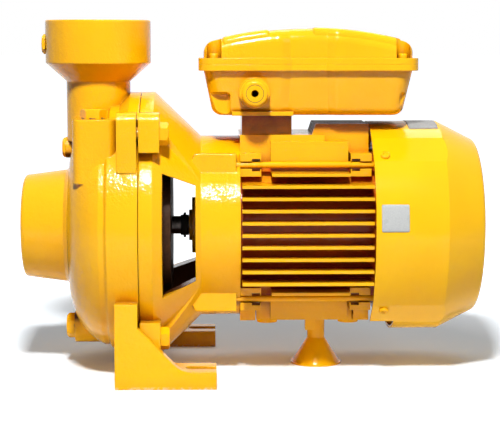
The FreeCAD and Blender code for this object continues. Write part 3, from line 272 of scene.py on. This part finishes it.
def enamel(name, edge, lumps, lump_size, peel, gloss=0.10, deep=None, inner=None, scuffed=False,
           light=1.0, shade=(0.08, 0.50, 0.6), shadow_below_box=False):
    """Gloss yellow enamel, with lumps for the casting skin below it and peel for its own skin.
    A higher light gives a yellow with less orange in it, which is painted light. Painted shade
    darkens it in corners, by the openness and by the share in shade. Painted shade also fills
    the gaps between the distances from the shaft in deep and, when set, painted shadow lies
    below the terminal box. It is darker on faces turned to the shaft within inner, and is
    scraped off the feet if scuffed."""
    material, tree, shader = new_material(name, ENAMEL_GLOSS)
    # A light above one lightens the yellow: painted light.
    tones = [(red, green * light, blue)
             for red, green, blue in (YELLOW_DEEP, YELLOW, YELLOW_LIGHT)]
    colour = ramp(tree, noise(tree, TONE_SCALE, 3.0), list(zip(TONE_STOPS, tones)))
    # Painted shade in narrow corners and gaps.
    full, none, most = shade
    corner_shade = product(tree, corners(tree, CORNER_REACH, full, none), most)
    colour = mix_colour(tree, corner_shade, colour, CORNER_SHADE_TONE)
    # Painted shadow below the terminal box.
    if shadow_below_box:
        colour = mix_colour(tree, painted_box_shadow(tree), colour, BOX_SHADOW_TONE)
    # Painted shade deep in the gaps between the fins near the shaft.
    if deep:
        gaps = product(tree, near_shaft(tree, *deep), corners(tree, CORNER_REACH, *GAP))
        colour = mix_colour(tree, gaps, colour, FIN_SHADE_TONE)
    # Darker on faces turned to the shaft, near the shaft.
    if inner:
        inward_dark = product(tree, near_shaft(tree, *inner), facing_shaft(tree))
        colour = mix_colour(tree, inward_dark, colour, INWARD_DARK)
    if scuffed:
        colour = mix_colour(tree, foot_scuffs(tree), colour, SCUFF)
    rough = grey_ramp(tree, noise(tree, GLOSS_SCALE, 3.0), gloss - GLOSS_BELOW,
                      gloss + GLOSS_ABOVE)
    skin = noise(tree, 1.0 / lump_size, 2.0, 0.55)
    normal = bump(tree, skin, lumps, LUMP_HEIGHT, rounded(tree, edge, 6))
    normal = bump(tree, noise(tree, PEEL_SCALE, 1.0), peel, PEEL_HEIGHT, normal)
    for key, value in (("Base Color", colour), ("Roughness", rough), ("Normal", normal),
                       ("Coat Normal", normal)):
        set_input(tree, shader.inputs[key], value)
    return material


def grained(name, dark, light, inputs, scale, detail, stretch, strength, height, edge,
            smear_scale, smear_detail, smooth, rough):
    """Material with one grain for its colour and its bumps. Smears between smooth and rough,
    by a noise of their own, are its gloss."""
    material, tree, shader = new_material(name, inputs)
    grain = noise(tree, scale, detail, 0.6, stretch)
    colour = ramp(tree, grain, list(zip(GRAIN_STOPS, (dark, light))))
    smears = grey_ramp(tree, noise(tree, smear_scale, smear_detail), smooth, rough)
    normal = bump(tree, grain, strength, height, rounded(tree, edge, 4))
    for key, value in (("Base Color", colour), ("Roughness", smears), ("Normal", normal)):
        set_input(tree, shader.inputs[key], value)
    return material


def metal(name, dark, light, rough, scale, stretch=None, edge=0.0004, strength=0.25):
    """Bare metal with tool marks or grain along one direction."""
    return grained(name, dark, light, {"Metallic": 1.0}, scale=scale, detail=3.0,
                   stretch=stretch, strength=strength, height=0.0002, edge=edge,
                   smear_scale=40.0, smear_detail=4.0, smooth=rough - 0.08, rough=rough + 0.12)


def plain(name, dark, light, rough, scale=200.0, strength=0.3, edge=0.0005, specular=0.5):
    """Plastic, rubber, board or primed metal with a fine mottled skin."""
    return grained(name, dark, light, {"Specular IOR Level": specular}, scale=scale, detail=4.0,
                   stretch=None, strength=strength, height=0.0003, edge=edge,
                   smear_scale=50.0, smear_detail=3.0, smooth=rough - 0.06, rough=rough + 0.10)


# Openness at which a corner's painted shade is darkest, openness at which that ends, and its
# share.
STRONG_SHADE = (0.08, 0.62, 0.8)

cast_paint = enamel("cast_paint", edge=0.0020, lumps=0.30, lump_size=0.0065, peel=0.46,
                    inner=(0.101, 0.102), scuffed=True, shade=STRONG_SHADE)
# Painted shade deep between its fins, and painted shadow below the terminal box.
frame_paint = enamel("frame_paint", edge=0.0007, lumps=0.25, lump_size=0.0060, peel=0.25,
                     deep=(0.079, 0.087), shadow_below_box=True)
box_paint = enamel("box_paint", edge=0.0012, lumps=0.18, lump_size=0.0080, peel=0.22,
                   shade=STRONG_SHADE)
# The fan cover's lighter yellow is painted light.
sheet_paint = enamel("sheet_paint", edge=0.0010, lumps=0.08, lump_size=0.0200, peel=0.10,
                     gloss=0.16, light=1.08)
screw_paint = enamel("fastener_paint", edge=0.0006, lumps=0.20, lump_size=0.0040, peel=0.20)

cast_iron = plain("cast_iron", (0.026, 0.009, 0.003), (0.060, 0.024, 0.009), rough=0.55,
                  scale=260.0, strength=0.6, edge=0.0015, specular=0.15)
brass = metal("brass", (0.52, 0.34, 0.11), (0.78, 0.57, 0.25), rough=0.32, scale=180.0)
steel = metal("steel", (0.42, 0.42, 0.43), (0.66, 0.66, 0.67), rough=0.26, scale=240.0,
              stretch=(0.15, 1, 1))
dark_steel = metal("dark_steel", (0.050, 0.042, 0.038), (0.13, 0.11, 0.10), rough=0.38,
                   scale=220.0)
laminations = metal("laminations", (0.10, 0.10, 0.11), (0.34, 0.34, 0.36), rough=0.40,
                    scale=90.0, stretch=(20, 0.3, 0.3))
copper = metal("copper", (0.36, 0.13, 0.05), (0.78, 0.36, 0.16), rough=0.35, scale=160.0,
               stretch=(1, 6, 6), edge=0.001, strength=0.6)
aluminium = metal("aluminium", (0.60, 0.60, 0.62), (0.80, 0.80, 0.82), rough=0.42, scale=200.0)
rubber = plain("rubber", (0.010, 0.009, 0.008), (0.026, 0.024, 0.022), rough=0.62, specular=0.2)
ceramic = plain("ceramic", (0.70, 0.68, 0.62), (0.84, 0.82, 0.77), rough=0.18, scale=300.0,
                strength=0.05)
fan_plastic = plain("fan_plastic", (0.012, 0.012, 0.013), (0.030, 0.030, 0.032), rough=0.40)
grey_plastic = plain("grey_plastic", (0.17, 0.18, 0.19), (0.24, 0.25, 0.26), rough=0.35)
board = plain("board", (0.12, 0.020, 0.012), (0.20, 0.035, 0.020), rough=0.40, scale=150.0)

# The added pieces' own finishes.
port_iron = plain("port_iron", (0.13, 0.10, 0.075), (0.26, 0.21, 0.16), rough=0.34,
                  scale=220.0, edge=0.0003)
blank_silver = plain("blank_silver", (0.38, 0.39, 0.39), (0.46, 0.47, 0.46), rough=0.30,
                     scale=900.0, strength=0.05, edge=0.0002)
blank_grey = plain("blank_grey", (0.20, 0.20, 0.20), (0.28, 0.28, 0.27), rough=0.34,
                   scale=700.0, strength=0.05, edge=0.0002)
# Dark for the serrated joint on the gland, and painted shadow under the plug heads.
shade_and_joint_dark = plain("shade_and_joint_dark", (0.035, 0.012, 0.004), (0.080, 0.030, 0.008), rough=0.6, scale=500.0,
              strength=0.2, edge=0.0001)

finishes = {
    cast_paint: ["pump_casing", "lantern_bracket"],
    frame_paint: ["motor_frame", "support_stand", "rear_end_shield"],
    box_paint: ["terminal_box_base", "terminal_box_lid"],
    sheet_paint: ["fan_cover"],
    screw_paint: ["casing_bolts", "tie_rods", "cover_screws", "lid_screws", "filler_plug",
                  "drain_plug", "gauge_plugs", "cable_gland", "gland_nut", "gland_seal"],
    cast_iron: ["seal_plate"],
    brass: ["impeller", "wear_ring", "board_studs"],
    steel: ["seal_seat", "seal_spring", "impeller_key", "impeller_nut", "front_outer_race",
            "rear_outer_race", "front_inner_race", "rear_inner_race", "front_ball_cage",
            "rear_ball_cage", "wave_washer", "fan_circlip", "stand_screw", "capacitor_clips"],
    dark_steel: ["motor_shaft", "gland_locknut"],
    laminations: ["stator_core", "rotor_core"],
    copper: ["stator_windings"],
    aluminium: ["rotor_end_rings"],
    rubber: ["slinger", "casing_gasket", "lid_gasket"],
    ceramic: ["seal_head"],
    fan_plastic: ["cooling_fan"],
    grey_plastic: ["capacitor"],
    board: ["terminal_board"],
}
for material, names in finishes.items():
    for name in names:
        for slot in nodes[name].material_slots:
            slot.material = material


# -------------------------------------------------------------- fine pieces

def new_object(name, data):
    obj = bpy.data.objects.new(name, data)
    bpy.context.scene.collection.objects.link(obj)
    return obj


def piece(name, verts, faces, material, body, place=None, smooth=True):
    """New piece that rides on a body and takes the finish it is given."""
    mesh = bpy.data.meshes.new(name)
    mesh.from_pydata(verts, [], faces)
    if place is not None:
        mesh.transform(place)
    mesh.validate()
    mesh.polygons.foreach_set("use_smooth", [smooth] * len(mesh.polygons))
    mesh.materials.append(material)
    obj = new_object(name, mesh)
    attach(obj, body)


def grid_faces(rows, columns, closed=True, first=0):
    """Quads between rows of points; closed joins the last column to the first."""
    return [(first + row * columns + column,
             first + row * columns + (column + 1) % columns,
             first + (row + 1) * columns + (column + 1) % columns,
             first + (row + 1) * columns + column)
            for row in range(rows - 1) for column in range(columns if closed else columns - 1)]


def ring_mesh(steps, section_at):
    """Ring about local +Z; section_at gives its four corners (radius, rise) at an angle."""
    verts, faces = [], []
    for step in range(steps):
        angle = math.tau * step / steps
        verts += [(radius * math.cos(angle), radius * math.sin(angle), rise)
                  for radius, rise in section_at(angle)]
        after = (step + 1) % steps
        faces += [(4 * step + corner, 4 * step + (corner + 1) % 4,
                   4 * after + (corner + 1) % 4, 4 * after + corner) for corner in range(4)]
    return verts, faces


def aimed(origin, direction):
    """Matrix that lays local +Z along direction with its origin at a point."""
    forward = Vector(direction).normalized()
    side = Vector((0, 0, 1)).cross(forward)
    if side.length < 1e-6:
        side = Vector((1, 0, 0))
    side.normalize()
    top = forward.cross(side)
    turn = Matrix((side, top, forward)).transposed().to_4x4()
    return Matrix.Translation(origin) @ turn


THREAD_PITCH = 0.002309
THREAD_ROOT = 0.0431
THREAD_CREST = 0.0417
THREAD_START = 0.0022
THREAD_DEPTH = 0.031
THREAD_STEPS = 72
THREAD_RUN_OUT = 0.6
# Half widths of the ridge: of its foot in pitches, and of its top in half feet.
RIDGE_FOOT = 0.46
RIDGE_TOP = 0.1


def port_thread(name, mouth, direction):
    """Pipe thread inside a port: one closed ridge wound from the mouth inwards."""
    turns = int(THREAD_DEPTH / THREAD_PITCH) - 1
    last = turns * THREAD_STEPS
    half = RIDGE_FOOT * THREAD_PITCH
    section = ((THREAD_ROOT, -half), (THREAD_CREST, -RIDGE_TOP * half),
               (THREAD_CREST, RIDGE_TOP * half), (THREAD_ROOT, half))
    verts = []
    for step in range(last + 1):
        angle = math.tau * step / THREAD_STEPS
        fade = min(1.0, min(step, last - step) / THREAD_STEPS / THREAD_RUN_OUT)
        for corner, shift in section:
            radius = THREAD_ROOT + (corner - THREAD_ROOT) * fade
            down = -THREAD_START - THREAD_PITCH * step / THREAD_STEPS + shift
            verts.append((radius * math.cos(angle), radius * math.sin(angle), down))
    faces = grid_faces(last + 1, 4)
    faces += [(3, 2, 1, 0), tuple(4 * last + corner for corner in range(4))]
    piece(name, verts, faces, port_iron, "pump_body", aimed(mouth, direction), False)


SUCTION_MOUTH = (at(-117.0), 0, SHAFT)
DISCHARGE_MOUTH = (at(-43.0), 0, 0.344)


def port_threads():
    port_thread("suction_thread", SUCTION_MOUTH, (-1, 0, 0))
    port_thread("discharge_thread", DISCHARGE_MOUTH, (0, 0, 1))


# Height of each plug's head, and its painted shadow ring: reach in head radii, rise and two
# waves.
FILLER_HEAD = 0.0090
DRAIN_HEAD = 0.0085
SHADOW_RING_OUT = 1.04
SHADOW_RING_IN = 0.8
SHADOW_RING_RIM = 0.0006
SHADOW_RING_TOP = 0.0007
SHADOW_RING_WAVES = ((0.00035, 6), (0.00015, 17))
SHADOW_RING_STEPS = 120


def plug_shadow_rings():
    """Dark wavy rings under the filler and drain plugs' heads: painted shadow of the heads."""
    for name, up, head in (("filler_plug", True, FILLER_HEAD), ("drain_plug", False, DRAIN_HEAD)):
        low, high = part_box(name)
        seat = [(a + b) / 2 for a, b in zip(low, high)]
        if up:
            seat[2], direction = high[2] - head, (0, 0, 1)
        else:
            seat[0], direction = low[0] + head, (-1, 0, 0)
        outer = (high[1] - low[1]) / 2 * SHADOW_RING_OUT
        inner = outer * SHADOW_RING_IN

        def section(angle):
            wave = sum(size * math.sin(count * angle) for size, count in SHADOW_RING_WAVES)
            return ((inner, 0.0), (outer, 0.0),
                    (outer, SHADOW_RING_RIM + wave), (inner, SHADOW_RING_TOP + wave))

        verts, faces = ring_mesh(SHADOW_RING_STEPS, section)
        piece(name + "_shadow_ring", verts, faces, shade_and_joint_dark, name + "_body",
              aimed(seat, direction))


COVER_RADIUS = 0.104
PLATE_COLUMNS = 25
PLATE_ROWS = 17
PLATE_CORNER = 0.0012
PLATE_BACK = 0.00005
PLATE_FACE = 0.0004


def wrapped_plate(name, station, angle, long, wide, material):
    """Blank plate bent round the cover; angle is measured from -Y upwards."""
    columns, rows = PLATE_COLUMNS, PLATE_ROWS
    straight_x, straight_y = long / 2 - PLATE_CORNER, wide / 2 - PLATE_CORNER
    verts, faces = [], []
    for layer, rise in enumerate((PLATE_BACK, PLATE_FACE)):
        out = COVER_RADIUS + rise
        for row in range(rows):
            for column in range(columns):
                x = (-1 + 2 * column / (columns - 1)) * long / 2
                y = (-1 + 2 * row / (rows - 1)) * wide / 2
                over_x, over_y = max(0.0, abs(x) - straight_x), max(0.0, abs(y) - straight_y)
                if over_x and over_y:
                    pull = min(1.0, PLATE_CORNER / math.hypot(over_x, over_y))
                    x = math.copysign(straight_x + over_x * pull, x)
                    y = math.copysign(straight_y + over_y * pull, y)
                turn = angle + y / COVER_RADIUS
                verts.append((at(station) + x, -out * math.cos(turn),
                              SHAFT + out * math.sin(turn)))
        quads = grid_faces(rows, columns, False, layer * rows * columns)
        faces += quads if layer else [quad[::-1] for quad in quads]
    rim = list(range(columns))
    rim += [row * columns + columns - 1 for row in range(1, rows)]
    rim += [(rows - 1) * columns + column for column in range(columns - 2, -1, -1)]
    rim += [row * columns for row in range(rows - 2, 0, -1)]
    top = rows * columns
    faces += [(first, second, second + top, first + top)
              for first, second in zip(rim, rim[1:] + rim[:1])]
    piece(name, verts, faces, material, "pump_body")


def cover_plates():
    wrapped_plate("cover_side_plate", station=241.1, angle=0.173, long=0.026, wide=0.026,
                  material=blank_silver)
    wrapped_plate("cover_top_plate", station=275.5, angle=math.pi / 2, long=0.029, wide=0.0715,
                  material=blank_grey)


HEAD_RADIUS = 0.0046
HEAD_RISE = 0.0010
HEAD_FOOT = -0.0009
HEAD_RINGS = 16
HEAD_SIDES = 48
DOME_POWER = 3.2
# The cross recess, in head radii, and its walls' top and slope in half widths.
RECESS_ARM = 0.58
RECESS_HALF_WIDTH = 0.15
RECESS_DEPTH = 0.42
RECESS_END = 0.16
WALL_TOP = 1.35
WALL_SLOPE = 0.5


def crossed_head(name, body, origin, direction, turn):
    """Domed screw head with a cross recess, seated on the plain head below."""
    arm, half_width, deep = (
        share * HEAD_RADIUS for share in (RECESS_ARM, RECESS_HALF_WIDTH, RECESS_DEPTH))
    angles = [math.tau * side / HEAD_SIDES for side in range(HEAD_SIDES)]
    verts = [(0, 0, HEAD_RISE - deep)]
    for ring in range(1, HEAD_RINGS + 1):
        share = ring / HEAD_RINGS
        height = HEAD_RISE * math.sqrt(max(0.0, 1 - share ** DOME_POWER))
        for angle in angles:
            x = share * HEAD_RADIUS * math.cos(angle)
            y = share * HEAD_RADIUS * math.sin(angle)
            a = abs(x * math.cos(turn) + y * math.sin(turn))
            b = abs(y * math.cos(turn) - x * math.sin(turn))
            near, far = min(a, b), max(a, b)
            cut = min(1.0, max(0.0, (half_width * WALL_TOP - near) / (half_width * WALL_SLOPE)))
            cut *= min(1.0, max(0.0, (arm - far) / (RECESS_END * HEAD_RADIUS)))
            verts.append((x, y, height - deep * cut))
    foot = len(verts)
    verts += [(HEAD_RADIUS * math.cos(angle), HEAD_RADIUS * math.sin(angle), HEAD_FOOT)
              for angle in angles]
    faces = [(0, 1 + side, 1 + (side + 1) % HEAD_SIDES) for side in range(HEAD_SIDES)]
    faces += grid_faces(HEAD_RINGS + 1, HEAD_SIDES, True, 1)
    faces.append(tuple(foot + side for side in range(HEAD_SIDES))[::-1])
    piece(name, verts, faces, screw_paint, body, aimed(origin, direction))


# The cover's screws point out at this slope, this far from the shaft and off its axis.
COVER_SCREW_X = at(234.0)
COVER_SCREW_SLOPE = math.radians(51.0)
COVER_SCREW_OUT = 0.1052
COVER_SCREW_ALONG = -0.009


def cover_screw_heads():
    flat, steep = math.cos(COVER_SCREW_SLOPE), math.sin(COVER_SCREW_SLOPE)
    y = COVER_SCREW_OUT * flat - COVER_SCREW_ALONG * steep
    z = COVER_SCREW_OUT * steep + COVER_SCREW_ALONG * flat
    for index, (side, up) in enumerate(((-1, 1), (-1, -1), (1, 1), (1, -1))):
        crossed_head("cover_screw_head_%d" % index, "pump_body",
                     (COVER_SCREW_X, side * y, SHAFT + up * z),
                     (0, side * flat, up * steep), turn=0.3 + 0.4 * index)


LID_SCREW_RADIUS = 0.0045


def lid_screw_heads():
    low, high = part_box("lid_screws")
    places = [(x, y) for y in (low[1] + LID_SCREW_RADIUS, high[1] - LID_SCREW_RADIUS)
              for x in (low[0] + LID_SCREW_RADIUS, high[0] - LID_SCREW_RADIUS)]
    for index, (x, y) in enumerate(places):
        crossed_head("lid_screw_head_%d" % index, "lid", (x, y, high[2]), (0, 0, 1),
                     turn=0.2 + 0.5 * index)


# Joint of the gland's nut and seal: its radii, how far its teeth reach, and its two levels.
GLAND_TEETH = 36
GLAND_STEPS = 8 * GLAND_TEETH
GLAND_INNER = 0.00815
GLAND_OUTER = 0.00840
GLAND_IN_REACH = 0.00030
GLAND_OUT_REACH = 0.00010
GLAND_BACK = -0.0002
GLAND_FACE = 0.00012


def gland_ring():
    """Serrated joint between the clamping nut and the seal, on the gland's face."""
    low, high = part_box("gland_seal")
    centre = ((low[0] + high[0]) / 2, low[1], (low[2] + high[2]) / 2)

    def section(angle):
        wave = 0.5 + 0.5 * math.cos(GLAND_TEETH * angle)
        inner = GLAND_INNER - GLAND_IN_REACH * wave
        outer = GLAND_OUTER + GLAND_OUT_REACH * wave
        return ((inner, GLAND_BACK), (inner, GLAND_FACE), (outer, GLAND_FACE),
                (outer, GLAND_BACK))

    verts, faces = ring_mesh(GLAND_STEPS, section)
    piece("gland_ring", verts, faces, shade_and_joint_dark, "pump_body", aimed(centre, (0, -1, 0)),
          False)


port_threads()
plug_shadow_rings()
cover_plates()
cover_screw_heads()
lid_screw_heads()
gland_ring()


# ------------------------------------------------------- floor, light, camera

# The floor's colour as seen, its own glow, and the distances from the pump between
# which that glow grows until the floor is white.
FLOOR_HALF = 30.0
FLOOR_SEEN = (0.87, 0.93, 0.98)
FLOOR_LIFT = 0.08
FLOOR_SHADE_TO = 0.28
FLOOR_WHITE_FROM = 0.80

# The floor's colour for light that bounces off it, by distance from the pump.
BOUNCE_NEAR = (0.90, 0.90, 0.90)
BOUNCE_FAR = (0.12, 0.12, 0.12)
BOUNCE_REACH = (0.25, 0.50)

# The room's grey at the horizon and overhead, and where it starts and stops to rise.
ROOM_LOW = 0.04
ROOM_HIGH = 0.11
ROOM_RISE = (0.05, 0.85)
WHITE = (1, 1, 1, 1)

SENSOR = 36.0
LENS = 109.04
CLIP = (0.05, 200.0)
CAMERA_PLACE = (-0.0424, -1.5090, 0.3247)
CAMERA_TURN = (math.pi / 2 - 0.1161, -0.0005, -0.0284)

# Name, place, target, width, height and power of each lamp.
LAMPS = (
    ("key", (-0.10, -1.10, 1.36), (0, 0, 0.15), 0.15, 0.15, 36.5),
    ("top", (0.10, 0.85, 1.45), (0, 0, 0.15), 0.8, 0.6, 6.5),
    ("side", (1.4, -1.3, 0.9), (0.1, 0, 0.15), 0.5, 0.8, 4),
)


def floor_material():
    """White paper. Background rays find it lit and shaded near the pump and pure white further
    out, and look through it from below. All other rays meet it by its bounce alone."""
    material = bpy.data.materials.new("floor")
    tree = empty_tree(material)
    seen = background_rays(tree)
    distance = length(tree, add_node(tree, "TexCoord").outputs["Object"])
    bounce = mix_colour(tree, span(tree, distance, *BOUNCE_REACH), BOUNCE_FAR, BOUNCE_NEAR)
    paper = add_node(tree, "BsdfDiffuse", {"Color": mix_colour(tree, seen, bounce, FLOOR_SEEN)})
    away = span(tree, distance, FLOOR_WHITE_FROM, FLOOR_SHADE_TO)
    strength = maths(tree, "ADD", product(tree, away, 1.0 - FLOOR_LIFT), FLOOR_LIFT)
    lift = add_node(tree, "Emission", {"Strength": product(tree, seen, strength)})
    both = add_node(tree, "AddShader", {0: paper.outputs[0], 1: lift.outputs[0]})
    below = add_node(tree, "NewGeometry").outputs["Backfacing"]
    clear = add_node(tree, "BsdfTransparent")
    surface = mix_shaders(tree, product(tree, below, seen), both.outputs[0], clear.outputs[0])
    add_node(tree, "OutputMaterial", {"Surface": surface})
    return material


def floor():
    mesh = bpy.data.meshes.new("floor")
    mesh.from_pydata([(-FLOOR_HALF, -FLOOR_HALF, 0), (FLOOR_HALF, -FLOOR_HALF, 0),
                      (FLOOR_HALF, FLOOR_HALF, 0), (-FLOOR_HALF, FLOOR_HALF, 0)],
                     [], [(0, 1, 2, 3)])
    obj = new_object("floor", mesh)
    mesh.materials.append(floor_material())


def world():
    """White to background rays, and a soft grey room, brighter overhead, to all others."""
    studio = bpy.data.worlds.new("studio")
    bpy.context.scene.world = studio
    tree = empty_tree(studio)
    room = grey_ramp(tree, coordinate(tree, "Generated", "Z"), ROOM_LOW, ROOM_HIGH,
                     *ROOM_RISE)
    soft = add_node(tree, "Background", {"Color": room})
    white = add_node(tree, "Background", {"Color": WHITE})
    surface = mix_shaders(tree, background_rays(tree), soft.outputs[0], white.outputs[0])
    add_node(tree, "OutputWorld", {"Surface": surface})


def softbox(name, place, target, width, height, power):
    light = bpy.data.lights.new(name, "AREA")
    light.shape = "RECTANGLE"
    light.size = width
    light.size_y = height
    light.energy = power
    obj = new_object(name, light)
    obj.location = place
    obj.rotation_euler = (Vector(target) - Vector(place)).to_track_quat("-Z", "Y").to_euler()


def camera():
    data = bpy.data.cameras.new("camera")
    data.sensor_width = SENSOR
    data.lens = LENS
    data.clip_start, data.clip_end = CLIP
    obj = new_object("camera", data)
    obj.location = CAMERA_PLACE
    obj.rotation_euler = CAMERA_TURN
    bpy.context.scene.camera = obj


floor()
world()
for lamp in LAMPS:
    softbox(*lamp)
camera()
bpy.context.scene.view_settings.view_transform = "Standard"
